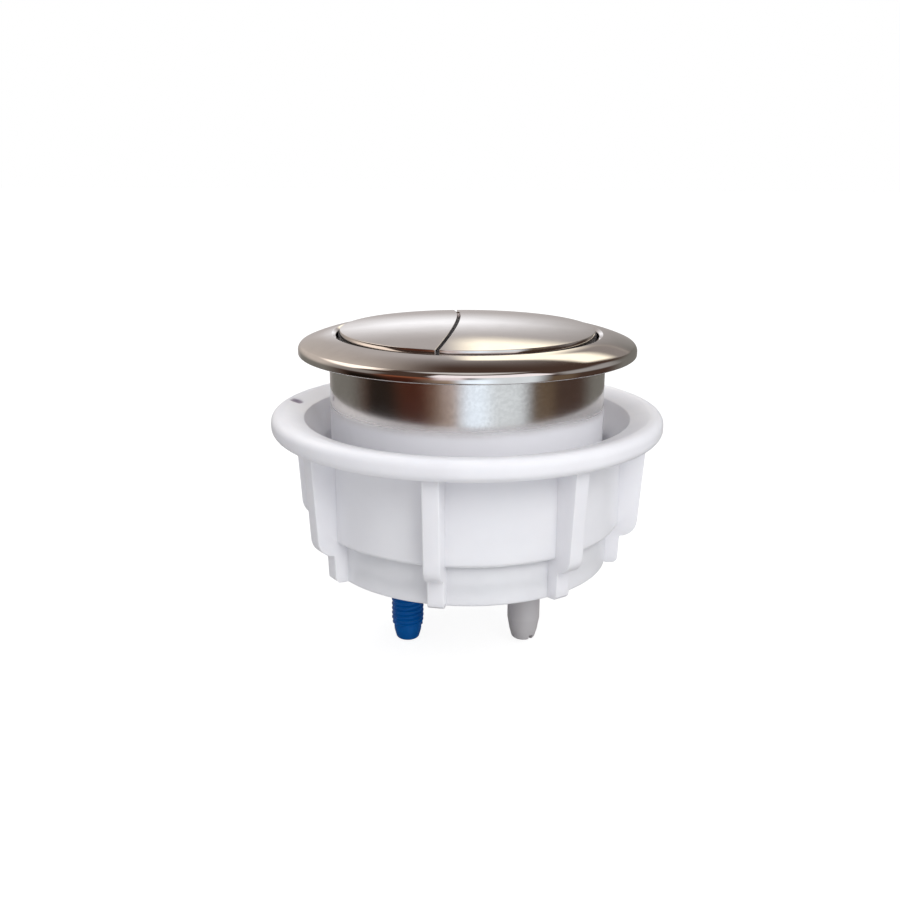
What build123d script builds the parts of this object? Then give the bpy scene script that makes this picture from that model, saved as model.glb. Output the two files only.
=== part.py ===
from build123d import *
import os
from math import radians, tan

# Dual-flush push button actuator for a cistern lid.
# Millimetres. The lid seat, the flat underside of the bezel's flange, is the plane z = 0.
# The sleeve's axis is Z, the push rods stand on X, and the gap between the buttons runs along Y.

# Sleeve and bezel
SLEEVE_D = 58.0
SLEEVE_WALL = 1.5
SLEEVE_LENGTH = 44.0
FLANGE_OVERHANG = 6.4
FLANGE_FOOT_ROUND = 0.8
FLANGE_EDGE_HEIGHT = 1.85
FLANGE_EDGE_ROUND = 1.3
LIP_HEIGHT = 4.05
LIP_WIDTH = 0.8
LIP_BEVEL_DROP = 0.35
CROWN_INNER_SLOPE = 10.8
CROWN_OUTER_SLOPE = 25.0
CROWN_ROUND = 20.0
SLEEVE_MOUTH_ROUND = 0.6

# Ledge and snap bead that hold the guide plate in the sleeve
LEDGE_HEIGHT = 1.4
LEDGE_WIDTH = 1.2
BEAD_STAND = 0.6
BEAD_HEIGHT = 1.4

# Buttons
BUTTON_GAP = 0.8
BUTTON_EDGE_HEIGHT = 4.75
BUTTON_CROWN = 1.4
BUTTON_EDGE_ROUND = 0.7
BUTTON_CORNER_ROUND = 0.8
BUTTON_TRAVEL = 8.0
TRAVEL_MARGIN = 1.4
CAP_THICKNESS = 1.6
CAP_WALL = 1.4
CAP_SKIRT_DEPTH = 9.0
SPLIT_RADIUS = 165.0
SPLIT_OFFSET = -2.1
SPLIT_GAP = 0.7
PEG_R = 1.6
PEG_SPREAD = 13.0
PEG_HEAD_R = 2.4
PEG_HEAD_HEIGHT = 1.0

# Plungers
ROD_SPREAD = 13.1
PLATE_DEPTH = 0.5
PLATE_THICKNESS = 2.0
PLATE_RIB = 1.6
STEM_R = 5.0
STEM_TAIL = 3.3
STEM_SLOT = 1.4
STEM_SLOT_LENGTH = 9.0
HOOK_STAND = 1.3
HOOK_LAND = 0.8
HOOK_HEIGHT = 2.6
HOOK_WIDTH = 4.0

# Guide plate
GUIDE_THICKNESS = 2.2
GUIDE_TUBE_WALL = 1.8
GUIDE_TUBE_LENGTH = 13.0
GUIDE_RIB = 1.6
GUIDE_RIB_HEIGHT = 5.0
WINDOW_LENGTH = 12.0
WINDOW_WIDTH = 7.0
WINDOW_SPREAD_X = 11.0
WINDOW_SPREAD_Y = 16.0
SPRING_COLLAR_WALL = 0.8
SPRING_COLLAR_HEIGHT = 2.0

# Return springs
SPRING_WIRE_R = 0.5
SPRING_WIRE_SIDES = 8
SPRING_TURNS = 7

# Push rods, which screw into the plungers, the full rod a little further than the half rod
ROD_R = 3.6
ROD_TIP_DEPTH = 66.4
ROD_ENGAGEMENT = 16.0
ROD_ADJUSTMENT = 2.0
FULL_ROD_RAISED = 1.0
HALF_ROD_TURN = 90.0
FULL_ROD_TURN = 40.0
ROD_TAPER_LENGTH = 5.0
ROD_TAPER_R = 3.12
ROD_NOSE_LENGTH = 2.2
ROD_NOSE_R = 2.5
ROD_NOSE_ROUND = 0.8
DRIVER_SLOT = 1.0
DRIVER_SLOT_DEPTH = 1.2

# Fixing nut
LID_GRIP = 12.3
NUT_HEIGHT = 32.8
RIM_WIDTH = 6.9
RIM_THICKNESS = 4.5
RIM_ROUND = 1.8
RIM_LAND = 0.9
RIM_DISH = 1.25
MOUTH_ROUND = 0.9
FUNNEL_WIDTH = 3.6
FUNNEL_DEPTH = 7.2
SKIRT_GAP = 2.0
SKIRT_WALL = 2.0
SKIRT_HEIGHT = 24.2
SKIRT_ROOT_ROUND = 2.4
SKIRT_EDGE_ROUND = 1.9
COLLAR_WALL = 1.5
COLLAR_EDGE_ROUND = 0.5
NUT_STEP = 1.6
RIB_COUNT = 8
RIB_PHASE = -97.0
RIB_WIDTH = 3.3
RIB_TOP_STAND = 5.4
RIB_FOOT_STAND = 3.9
RIB_FOOT_ROUND = 3.3
RIB_FOOT_BELOW_STEP = 2.2
COLLAR_RIB_STAND = 3.0
GATE_R = 1.5
GATE_DEPTH = 0.7
GATE_ANGLE = 173.6

# Clearances
RUNNING_CLEARANCE = 0.08
THREAD_CLEARANCE = 0.06
SNAP_CLEARANCE = 0.15
STOP_CLEARANCE = 0.1

# Sizes that follow from the ones above
SLEEVE_R = SLEEVE_D / 2
BORE_R = SLEEVE_R - SLEEVE_WALL
FLANGE_R = SLEEVE_R + FLANGE_OVERHANG
LIP_R = BORE_R + LIP_WIDTH
BUTTON_R = BORE_R - BUTTON_GAP
DOME_R = (BUTTON_R**2 + BUTTON_CROWN**2) / (2 * BUTTON_CROWN)
SPLIT_CENTRE = SPLIT_OFFSET - SPLIT_RADIUS
DOME_TOP = BUTTON_EDGE_HEIGHT + BUTTON_CROWN
DOME_CENTRE = DOME_TOP - DOME_R
PLATE_BOTTOM = -PLATE_DEPTH
PLATE_TOP = PLATE_BOTTOM + PLATE_THICKNESS
LEDGE_TOP = -CAP_SKIRT_DEPTH - BUTTON_TRAVEL - TRAVEL_MARGIN
GUIDE_TOP = LEDGE_TOP - LEDGE_WIDTH - LEDGE_HEIGHT
GUIDE_BOTTOM = GUIDE_TOP - GUIDE_THICKNESS
GUIDE_TUBE_END = GUIDE_TOP - GUIDE_TUBE_LENGTH
HOOK_TOP = GUIDE_TUBE_END - STOP_CLEARANCE
HOOK_BOTTOM = HOOK_TOP - HOOK_HEIGHT
STEM_END = HOOK_BOTTOM - STEM_TAIL
GUIDE_BORE_R = STEM_R + RUNNING_CLEARANCE
GUIDE_TUBE_R = GUIDE_BORE_R + GUIDE_TUBE_WALL
SPRING_COLLAR_R = GUIDE_BORE_R + SPRING_COLLAR_WALL
SPRING_R = SPRING_COLLAR_R + SNAP_CLEARANCE + SPRING_WIRE_R
SOCKET_R = ROD_R + THREAD_CLEARANCE
NUT_BORE_R = SLEEVE_R + THREAD_CLEARANCE
NUT_TOP = -LID_GRIP
NUT_BOTTOM = NUT_TOP - NUT_HEIGHT
SKIRT_INNER_R = SLEEVE_R + SKIRT_GAP
SKIRT_R = SKIRT_INNER_R + SKIRT_WALL
SKIRT_BOTTOM = NUT_TOP - SKIRT_HEIGHT
MOUTH_R = SKIRT_INNER_R + FUNNEL_WIDTH
RIM_R = MOUTH_R + RIM_WIDTH
COLLAR_R = NUT_BORE_R + COLLAR_WALL
HALF_X = -ROD_SPREAD
FULL_X = ROD_SPREAD


def section(corners):
    """Return a face in the XZ plane from (radius, height, rounding) corners."""
    points = [(r, z) for r, z, _ in corners]
    rounds = [rounding for _, _, rounding in corners]
    outline = FilletPolyline(points, radius=rounds, close=True)
    return Plane.XZ * make_face(outline)


def turned(corners):
    """Return the solid of revolution of a section about the Z axis."""
    return revolve(section(corners), Axis.Z)


def cylinder(x, radius, low, high):
    """Return an upright cylinder on the X axis between two heights."""
    return Pos(x, 0, (low + high) / 2) * Cylinder(radius, high - low)


def bezel_section():
    """Return the corners of the bezel and sleeve, from the sleeve's foot round to the bore."""
    inner_slope = tan(radians(CROWN_INNER_SLOPE))
    outer_slope = tan(radians(CROWN_OUTER_SLOPE))
    rise = LIP_HEIGHT - FLANGE_EDGE_HEIGHT
    run = FLANGE_R - LIP_R
    crown_run = (run * outer_slope - rise) / (outer_slope - inner_slope)
    crown = (LIP_R + crown_run, LIP_HEIGHT - crown_run * inner_slope)
    ledge_r = BORE_R - LEDGE_WIDTH
    bead_r = BORE_R - BEAD_STAND
    bead_top = GUIDE_BOTTOM - STOP_CLEARANCE
    return [
        (BORE_R, -SLEEVE_LENGTH, 0),
        (SLEEVE_R, -SLEEVE_LENGTH, SLEEVE_MOUTH_ROUND),
        (SLEEVE_R, 0, 0),
        (FLANGE_R, 0, FLANGE_FOOT_ROUND),
        (FLANGE_R, FLANGE_EDGE_HEIGHT, FLANGE_EDGE_ROUND),
        (crown[0], crown[1], CROWN_ROUND),
        (LIP_R, LIP_HEIGHT, 0),
        (BORE_R, LIP_HEIGHT - LIP_BEVEL_DROP, 0),
        (BORE_R, LEDGE_TOP, 0),
        (ledge_r, LEDGE_TOP - LEDGE_WIDTH, 0),
        (ledge_r, GUIDE_TOP, 0),
        (BORE_R, GUIDE_TOP, 0),
        (BORE_R, bead_top, 0),
        (bead_r, bead_top, 0),
        (bead_r, bead_top - BEAD_HEIGHT / 2, 0),
        (BORE_R, bead_top - BEAD_HEIGHT, 0),
    ]


def bezel_sleeve():
    """Return the bezel ring and threaded sleeve, one moulding."""
    return turned(bezel_section())


def button_outline(side, inset):
    """Return one button's plan, the disc parted along the curved gap, drawn in by an inset."""
    disc = Circle(BUTTON_R - inset)
    edge = side * (SPLIT_GAP / 2 + inset)
    parting = Pos(SPLIT_CENTRE, 0) * Circle(SPLIT_RADIUS + edge)
    if side < 0:
        return disc & parting
    return disc - parting


def upright(outline, low, high):
    """Return a plan outline raised between two heights."""
    return Pos(0, 0, low) * extrude(outline, high - low)


def under_dome(solid, drop):
    """Return the part of a solid that lies under the dome, lowered by a thickness."""
    return solid & (Pos(0, 0, DOME_CENTRE) * Sphere(DOME_R - drop))


def peg(x, y):
    """Return one staking peg of a cap, from the dome down to its flattened head."""
    shank = Pos(x, y) * upright(Circle(PEG_R), PLATE_BOTTOM, DOME_TOP)
    head = Pos(x, y) * upright(Circle(PEG_HEAD_R), PLATE_BOTTOM - PEG_HEAD_HEIGHT, PLATE_BOTTOM)
    return under_dome(shank, CAP_THICKNESS / 2) + head


def button_cap(side, x):
    """Return one domed cap: a thin shell with a skirt and two staking pegs."""
    outline = button_outline(side, 0)
    outline = fillet(outline.vertices(), BUTTON_CORNER_ROUND)
    outside = under_dome(upright(outline, -CAP_SKIRT_DEPTH, DOME_TOP), 0)
    dome = outside.faces().sort_by(Axis.Z)[-1]
    outside = fillet(dome.edges(), BUTTON_EDGE_ROUND)
    inside = upright(button_outline(side, CAP_WALL), -CAP_SKIRT_DEPTH, DOME_TOP)
    inside = under_dome(inside, CAP_THICKNESS)
    pegs = [peg(x, y) for y in (-PEG_SPREAD, PEG_SPREAD)]
    return outside - inside + pegs


def hooks(x):
    """Return the two snap hooks that stop a plunger under its guide tube."""
    reach = STEM_R + HOOK_STAND
    profile = Polyline(
        (SOCKET_R, HOOK_TOP),
        (reach, HOOK_TOP),
        (reach, HOOK_TOP - HOOK_LAND),
        (STEM_R, HOOK_BOTTOM),
        (SOCKET_R, HOOK_BOTTOM),
        close=True,
    )
    hook = extrude(Plane.YZ * make_face(profile), HOOK_WIDTH / 2, both=True)
    return [Pos(x) * hook, Pos(x) * Rot(0, 0, 180) * hook]


def plate_ribs(x):
    """Return the crossed ribs between a plunger's plate and the dome."""
    height = DOME_TOP - PLATE_BOTTOM
    long_rib = Box(PLATE_RIB, 2 * (PEG_SPREAD - PEG_HEAD_R), height)
    cross_rib = Box(2 * STEM_R, PLATE_RIB, height)
    ribs = Pos(x, 0, PLATE_BOTTOM + height / 2) * (long_rib + cross_rib)
    return under_dome(ribs, CAP_THICKNESS + SNAP_CLEARANCE)


def plunger(side, x):
    """Return one slider: a plate under the cap and a guide stem with hooks and the rod's socket."""
    outline = button_outline(side, CAP_WALL + SNAP_CLEARANCE)
    for y in (-PEG_SPREAD, PEG_SPREAD):
        outline -= Pos(x, y) * Circle(PEG_R + THREAD_CLEARANCE)
    plate = upright(outline, PLATE_BOTTOM, PLATE_TOP)
    collar = cylinder(x, SPRING_COLLAR_R, PLATE_BOTTOM - SPRING_COLLAR_HEIGHT, PLATE_TOP)
    stem = cylinder(x, STEM_R, STEM_END, PLATE_TOP)
    socket = cylinder(x, SOCKET_R, STEM_END, STEM_END + ROD_ENGAGEMENT + ROD_ADJUSTMENT)
    slot = Pos(x, 0, STEM_END + STEM_SLOT_LENGTH / 2) * Box(3 * STEM_R, STEM_SLOT, STEM_SLOT_LENGTH)
    return plate + plate_ribs(x) + collar + stem + hooks(x) - socket - slot


def guide_tube(x):
    """Return one guide tube with the collar that centres its spring."""
    tube = cylinder(x, GUIDE_TUBE_R, GUIDE_TUBE_END, GUIDE_TOP)
    return tube + cylinder(x, SPRING_COLLAR_R, GUIDE_BOTTOM, GUIDE_TOP + SPRING_COLLAR_HEIGHT)


def button_guide():
    """Return the plate that guides both plungers and seats their springs."""
    plate_r = BORE_R - SNAP_CLEARANCE
    rib_r = BORE_R - BEAD_STAND - SNAP_CLEARANCE
    disc = upright(Circle(plate_r), GUIDE_BOTTOM, GUIDE_TOP)
    window = upright(SlotOverall(WINDOW_LENGTH, WINDOW_WIDTH), GUIDE_BOTTOM, GUIDE_TOP)
    disc -= [spot * window for spot in GridLocations(2 * WINDOW_SPREAD_X, 2 * WINDOW_SPREAD_Y, 2, 2)]
    spine = Rectangle(2 * rib_r, GUIDE_RIB)
    cross = Rectangle(GUIDE_RIB, 2 * rib_r)
    ribs = upright(spine + cross, GUIDE_BOTTOM - GUIDE_RIB_HEIGHT, GUIDE_BOTTOM)
    ribs &= upright(Circle(rib_r), -SLEEVE_LENGTH, GUIDE_TOP)
    guide = disc + ribs + guide_tube(HALF_X) + guide_tube(FULL_X)
    for x in (HALF_X, FULL_X):
        guide -= cylinder(x, GUIDE_BORE_R, -SLEEVE_LENGTH, 0)
    return guide


def return_spring(x):
    """Return one compression spring between the guide plate and a plunger's plate."""
    low = GUIDE_TOP + SPRING_WIRE_R
    height = PLATE_BOTTOM - SPRING_WIRE_R - low
    path = Pos(x, 0, low) * Helix(height / SPRING_TURNS, height, SPRING_R)
    wire = Plane(path @ 0, z_dir=path % 0) * RegularPolygon(SPRING_WIRE_R, SPRING_WIRE_SIDES)
    return sweep(wire, path=path, is_frenet=True)


def push_rod(x, raised, turn):
    """Return one push rod, screwed in by a height and a turn: a shank and a tapered, slotted nose."""
    top = STEM_END + ROD_ENGAGEMENT
    nose = ROD_NOSE_LENGTH - ROD_TIP_DEPTH
    taper = nose + ROD_TAPER_LENGTH - ROD_NOSE_LENGTH
    rod = turned([
        (0, top, 0),
        (ROD_R, top, 0),
        (ROD_R, taper, 0),
        (ROD_TAPER_R, nose, 0),
        (ROD_NOSE_R, -ROD_TIP_DEPTH, ROD_NOSE_ROUND),
        (0, -ROD_TIP_DEPTH, 0),
    ])
    slot = Pos(0, 0, -ROD_TIP_DEPTH) * Box(DRIVER_SLOT, 3 * ROD_R, 2 * DRIVER_SLOT_DEPTH)
    return Pos(x, 0, raised) * Rot(0, 0, turn) * (rod - slot)


def nut_body():
    """Return the nut's turned form: dished rim, funnel mouth, skirt and threaded collar."""
    rim_bottom = NUT_TOP - RIM_THICKNESS
    land_r = RIM_R - RIM_ROUND - RIM_LAND
    return turned([
        (NUT_BORE_R, NUT_BOTTOM, 0),
        (COLLAR_R, NUT_BOTTOM, COLLAR_EDGE_ROUND),
        (COLLAR_R, SKIRT_BOTTOM, 0),
        (SKIRT_R, SKIRT_BOTTOM, SKIRT_EDGE_ROUND),
        (SKIRT_R, rim_bottom, SKIRT_ROOT_ROUND),
        (RIM_R, rim_bottom, RIM_ROUND),
        (RIM_R, NUT_TOP, RIM_ROUND),
        (land_r, NUT_TOP, 0),
        (MOUTH_R, NUT_TOP - RIM_DISH, MOUTH_ROUND),
        (SKIRT_INNER_R, NUT_TOP - FUNNEL_DEPTH, MOUTH_ROUND),
        (SKIRT_INNER_R, SKIRT_BOTTOM + NUT_STEP, 0),
        (NUT_BORE_R, SKIRT_BOTTOM - NUT_STEP, 0),
    ])


def nut_rib():
    """Return one gusset rib, from the rim down the skirt and on down the collar."""
    inside_skirt = SKIRT_R - SKIRT_WALL / 2
    inside_collar = COLLAR_R - COLLAR_WALL / 2
    inside_rim = NUT_TOP - RIM_THICKNESS / 2
    foot = SKIRT_BOTTOM - RIB_FOOT_BELOW_STEP
    collar_rib_r = COLLAR_R + COLLAR_RIB_STAND
    profile = section([
        (inside_skirt, NUT_TOP - FUNNEL_DEPTH, 0),
        (inside_skirt + FUNNEL_WIDTH, inside_rim, 0),
        (SKIRT_R + RIB_TOP_STAND, inside_rim, 0),
        (SKIRT_R + RIB_FOOT_STAND, foot, RIB_FOOT_ROUND),
        (collar_rib_r, foot, 0),
        (collar_rib_r, NUT_BOTTOM, 0),
        (inside_collar, NUT_BOTTOM, 0),
        (inside_collar, SKIRT_BOTTOM, 0),
        (inside_skirt, SKIRT_BOTTOM, 0),
    ])
    return extrude(profile, RIB_WIDTH / 2, both=True)


def fixing_nut():
    """Return the nut with its ribs and the gate's dimple on the rim."""
    rib = nut_rib()
    ribs = [Rot(0, 0, RIB_PHASE + 360 * i / RIB_COUNT) * rib for i in range(RIB_COUNT)]
    gate_r = (MOUTH_R + RIM_R) / 2
    gate = Rot(0, 0, GATE_ANGLE) * cylinder(gate_r, GATE_R, NUT_TOP - RIM_DISH / 2 - GATE_DEPTH, 0)
    return nut_body() + ribs - gate


def main():
    """Write every piece of the actuator."""
    pieces = {
        "bezel_sleeve": bezel_sleeve(),
        "half_button_cap": button_cap(-1, HALF_X),
        "full_button_cap": button_cap(1, FULL_X),
        "half_plunger": plunger(-1, HALF_X),
        "full_plunger": plunger(1, FULL_X),
        "button_guide": button_guide(),
        "half_spring": return_spring(HALF_X),
        "full_spring": return_spring(FULL_X),
        "half_push_rod": push_rod(HALF_X, 0, HALF_ROD_TURN),
        "full_push_rod": push_rod(FULL_X, FULL_ROD_RAISED, FULL_ROD_TURN),
        "fixing_nut": fixing_nut(),
    }
    os.makedirs("parts", exist_ok=True)
    for name, shape in pieces.items():
        export_step(shape, f"parts/{name}.step")


main()
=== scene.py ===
import logging
import math
from dataclasses import dataclass
from enum import Enum

import bmesh
import bpy
from mathutils import Matrix, Vector


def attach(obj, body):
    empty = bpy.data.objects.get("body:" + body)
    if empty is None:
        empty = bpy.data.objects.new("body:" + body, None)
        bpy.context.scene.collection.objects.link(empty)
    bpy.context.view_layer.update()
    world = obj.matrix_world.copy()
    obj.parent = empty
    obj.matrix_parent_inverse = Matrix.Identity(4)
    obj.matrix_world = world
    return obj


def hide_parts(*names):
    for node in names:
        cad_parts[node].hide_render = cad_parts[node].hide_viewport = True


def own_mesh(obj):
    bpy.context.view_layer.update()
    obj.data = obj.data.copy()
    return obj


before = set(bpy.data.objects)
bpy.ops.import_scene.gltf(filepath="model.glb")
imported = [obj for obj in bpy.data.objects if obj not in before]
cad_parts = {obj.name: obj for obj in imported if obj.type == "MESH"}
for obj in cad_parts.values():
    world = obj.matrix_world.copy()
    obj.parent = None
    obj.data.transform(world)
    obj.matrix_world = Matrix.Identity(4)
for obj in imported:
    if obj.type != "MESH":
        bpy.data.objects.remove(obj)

log = logging.getLogger("actuator")

# One millimetre in metres.
MM = 0.001
# Both rods' distance from the middle, in millimetres.
ROD_X = 13.1
# Points nearer than this are one, in millimetres.
MERGE = 1e-4
# Edges that turn by less than this are shaded smooth.
SMOOTH_LIMIT = math.radians(38.0)
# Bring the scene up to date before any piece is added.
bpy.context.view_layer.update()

Colour = tuple[float, float, float]
Point = tuple[float, float, float]
Range = tuple[float, float]
Socket = bpy.types.NodeSocket


class Body(Enum):
    """The rigid bodies that pieces ride on."""

    HOUSING = "housing"
    HALF = "half_button"
    FULL = "full_button"
    NUT = "nut"


class Slot(Enum):
    """Material slot names, which no piece here takes."""

    BRIGHT = "bright_metallised"
    NUT = "nut_plastic"
    STEEL = "spring_steel"
    BLUE = "blue_plastic"


class NodeSheet:
    """A material's or world's node tree, with short ways to add and join nodes."""

    def __init__(self, tree: bpy.types.NodeTree) -> None:
        """Start with an empty tree.

        Args:
            tree: The node tree to fill.
        """
        self.tree = tree
        tree.nodes.clear()

    def add(self, kind: str, inputs: dict | None = None, **settings) -> bpy.types.Node:
        """Add one node.

        Args:
            kind: The node's type name without its ShaderNode prefix.
            inputs: Values or output sockets for the node's inputs, by name or number.
            settings: Properties to set on the node.

        Returns:
            The new node.
        """
        node = self.tree.nodes.new("ShaderNode" + kind)
        for name, value in settings.items():
            setattr(node, name, value)
        for key, value in (inputs or {}).items():
            if isinstance(value, Socket):
                self.tree.links.new(value, node.inputs[key])
            else:
                node.inputs[key].default_value = value
        return node

    def math(self, operation: str, *values: float | Socket) -> Socket:
        """Add a Math node.

        Args:
            operation: The operation's name.
            values: Numbers or sockets for its inputs.

        Returns:
            The result socket.
        """
        return self.add("Math", dict(enumerate(values)), operation=operation).outputs[0]

    def ramp(self, value: Socket, low: float, high: float, start: float, end: float) -> Socket:
        """Map a range smoothly onto another.

        Args:
            value: The socket to map.
            low: Input value at the start.
            high: Input value at the end.
            start: Output at low.
            end: Output at high.

        Returns:
            The mapped socket.
        """
        inputs = {"Value": value, "From Min": low, "From Max": high, "To Min": start, "To Max": end}
        return self.add("MapRange", inputs, interpolation_type="SMOOTHSTEP").outputs[0]

    def blend(self, factor: Socket, first: float | Socket, second: float | Socket) -> Socket:
        """Mix two numbers.

        Args:
            factor: Socket, 0 for the first number.
            first: Number or socket.
            second: Number or socket.

        Returns:
            The mixed number's socket.
        """
        return self.add("Mix", {0: factor, 2: first, 3: second}).outputs[0]

    def distance(self, vector: Socket, point: Point) -> Socket:
        """Measure how far a place is from a point.

        Args:
            vector: The coordinate socket.
            point: The point, in metres.

        Returns:
            The distance socket.
        """
        return self.add("VectorMath", {0: vector, 1: point}, operation="DISTANCE").outputs["Value"]

    def mix(self, factor: Socket, first: Colour | Socket, second: Colour | Socket) -> Socket:
        """Mix two colours.

        Args:
            factor: Socket, 0 for the first colour.
            first: Colour or socket.
            second: Colour or socket.

        Returns:
            The mixed colour socket.
        """
        colours = [each if isinstance(each, Socket) else (*each, 1.0) for each in (first, second)]
        return self.add("Mix", {0: factor, 6: colours[0], 7: colours[1]}, data_type="RGBA").outputs[2]

    def noise(self, vector: Socket, scale: float, detail: float = 3.0) -> Socket:
        """Add a noise texture.

        Args:
            vector: The coordinate socket.
            scale: Size of the pattern, in cycles a metre.
            detail: Number of octaves.

        Returns:
            The noise value socket.
        """
        inputs = {"Vector": vector, "Scale": scale, "Detail": detail, "Roughness": 0.55}
        return self.add("TexNoise", inputs).outputs[0]


@dataclass(frozen=True)
class Finish:
    """A procedural finish on object coordinates, with its lengths in metres."""

    name: str

    def material(self) -> bpy.types.Material:
        """Make the finish's node material.

        Returns:
            The new material.
        """
        made = bpy.data.materials.new(self.name)
        made.use_nodes = True
        sheet = NodeSheet(made.node_tree)
        shader = self.shader(sheet, sheet.add("TexCoord").outputs["Object"])
        sheet.add("OutputMaterial", {"Surface": shader.outputs[0]})
        return made

    def shader(self, sheet: NodeSheet, place: Socket) -> bpy.types.Node:
        """Return the shader node, which each kind of finish adds for itself."""
        raise NotImplementedError


@dataclass(frozen=True)
class MouldedPlastic(Finish):
    """An injection-moulded plastic with faint flow marks and a fine mould texture."""

    colour: Colour
    shade: Colour
    roughness: float
    flow_scale: float = 70.0
    flow_range: Range = (0.3, 0.7)
    flow_roughness: Range = (-0.04, 0.05)
    grain_scale: float = 2600.0
    grain: float = 0.06
    grain_height: float = 0.00004
    shine: float = 0.5
    ior: float = 1.49
    subsurface: float = 0.0
    bleed: Colour = (1.0, 0.95, 0.92)
    bleed_depth: float = 0.003

    def shader(self, sheet: NodeSheet, place: Socket) -> bpy.types.Node:
        """Add the plastic's shader.

        Args:
            sheet: The material's nodes.
            place: Object coordinates.

        Returns:
            The shader node.
        """
        flow = sheet.ramp(sheet.noise(place, self.flow_scale), *self.flow_range, 0.0, 1.0)
        grain = sheet.noise(place, self.grain_scale, 2.0)
        bump = sheet.add("Bump", {"Strength": self.grain, "Distance": self.grain_height, "Height": grain})
        smooth, rough = (self.roughness + change for change in self.flow_roughness)
        return sheet.add("BsdfPrincipled", {
            "Base Color": self.tint(sheet, place, sheet.mix(flow, self.colour, self.shade)),
            "Roughness": sheet.ramp(flow, 0.0, 1.0, smooth, rough),
            "Normal": bump.outputs[0],
            "IOR": self.ior,
            "Specular IOR Level": self.shine,
            "Subsurface Weight": self.subsurface,
            "Subsurface Radius": self.bleed,
            "Subsurface Scale": self.bleed_depth,
        })

    def tint(self, sheet: NodeSheet, place: Socket, colour: Socket) -> Socket:
        """Return the colour unchanged, for plastics without a mark."""
        return colour


@dataclass(frozen=True, kw_only=True)
class NutPlastic(MouldedPlastic):
    """The nut's plastic, with a dark purple-grey spot over the gate dimple on its rim."""

    mark_at: Point
    mark_r: float
    mark: Colour = (0.28, 0.23, 0.30)
    mark_strength: float = 0.85
    mark_edge: Range = (0.7, 1.15)

    def tint(self, sheet: NodeSheet, place: Socket, colour: Socket) -> Socket:
        """Darken the gate dimple with a purple-grey spot.

        Args:
            sheet: The material's nodes.
            place: Object coordinates.
            colour: The plain colour socket.

        Returns:
            The colour socket with the spot.
        """
        inner, outer = (share * self.mark_r for share in self.mark_edge)
        # Purple-grey darkening centred on the gate dimple, fading out past its edge.
        spot = sheet.ramp(sheet.distance(place, self.mark_at), inner, outer, self.mark_strength, 0.0)
        return sheet.mix(spot, colour, self.mark)


@dataclass(frozen=True, kw_only=True)
class Metallised(Finish):
    """Bright metallised plastic, which turns satin and fades to bare white plastic lower down."""

    satin_from: float
    fade_from: float
    fade_to: float
    metal: Colour = (0.70, 0.675, 0.655)
    roughness: float = 0.05
    satin: float = 0.21
    satin_blend: float = 0.0012
    bare: Colour = (0.85, 0.85, 0.88)
    bare_roughness: float = 0.4
    drift: float = 0.002
    drift_scale: float = 45.0
    haze: float = 0.94
    haze_scale: float = 240.0
    haze_range: Range = (0.35, 0.75)
    haze_roughness: float = 0.025
    speckle: float = 0.9
    speckle_scale: float = 1500.0
    speckle_range: Range = (0.35, 0.65)
    peel: float = 0.04
    peel_scale: float = 260.0
    peel_height: float = 0.00005
    ior: float = 1.5

    def level(self, sheet: NodeSheet, place: Socket) -> Socket:
        """Return the level that the coat follows, here the height."""
        return sheet.add("SeparateXYZ", {0: place}).outputs[2]

    def shader(self, sheet: NodeSheet, place: Socket) -> bpy.types.Node:
        """Add the coat's shader.

        Args:
            sheet: The material's nodes.
            place: Object coordinates.

        Returns:
            The shader node.
        """
        level = self.level(sheet, place)
        wander = sheet.math("SUBTRACT", sheet.noise(place, self.drift_scale, 1.0), 0.5)
        edge = sheet.math("ADD", level, sheet.math("MULTIPLY", wander, self.drift))
        coated = sheet.ramp(edge, self.fade_to, self.fade_from, 0.0, 1.0)
        matt = sheet.ramp(level, self.satin_from - self.satin_blend, self.satin_from, 1.0, 0.0)
        haze = sheet.ramp(sheet.noise(place, self.haze_scale), *self.haze_range, 0.0, 1.0)
        specks = sheet.ramp(sheet.noise(place, self.speckle_scale, 2.0), *self.speckle_range, 0.0, 1.0)
        peel = sheet.noise(place, self.peel_scale, 1.0)
        bump = sheet.add("Bump", {"Strength": self.peel, "Distance": self.peel_height, "Height": peel})
        coat = sheet.mix(haze, self.metal, dimmed(self.metal, self.haze))
        coat = sheet.mix(sheet.math("MULTIPLY", matt, specks), coat, dimmed(self.metal, self.speckle))
        polish = sheet.ramp(haze, 0.0, 1.0, self.roughness, self.roughness + self.haze_roughness)
        coat_roughness = sheet.blend(matt, polish, self.satin)
        return sheet.add("BsdfPrincipled", {
            "Base Color": sheet.mix(coated, self.bare, coat),
            "Metallic": coated,
            "Roughness": sheet.blend(coated, self.bare_roughness, coat_roughness),
            "Normal": bump.outputs[0],
            "IOR": self.ior,
        })


@dataclass(frozen=True, kw_only=True)
class MetallisedDome(Metallised):
    """A metallised dome, whose coat thins out down the walls under its edge."""

    radius: float
    centre_z: float

    def level(self, sheet: NodeSheet, place: Socket) -> Socket:
        """Return the height over the dome, below zero under it."""
        return sheet.math("SUBTRACT", sheet.distance(place, (0.0, 0.0, self.centre_z)), self.radius)


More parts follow.
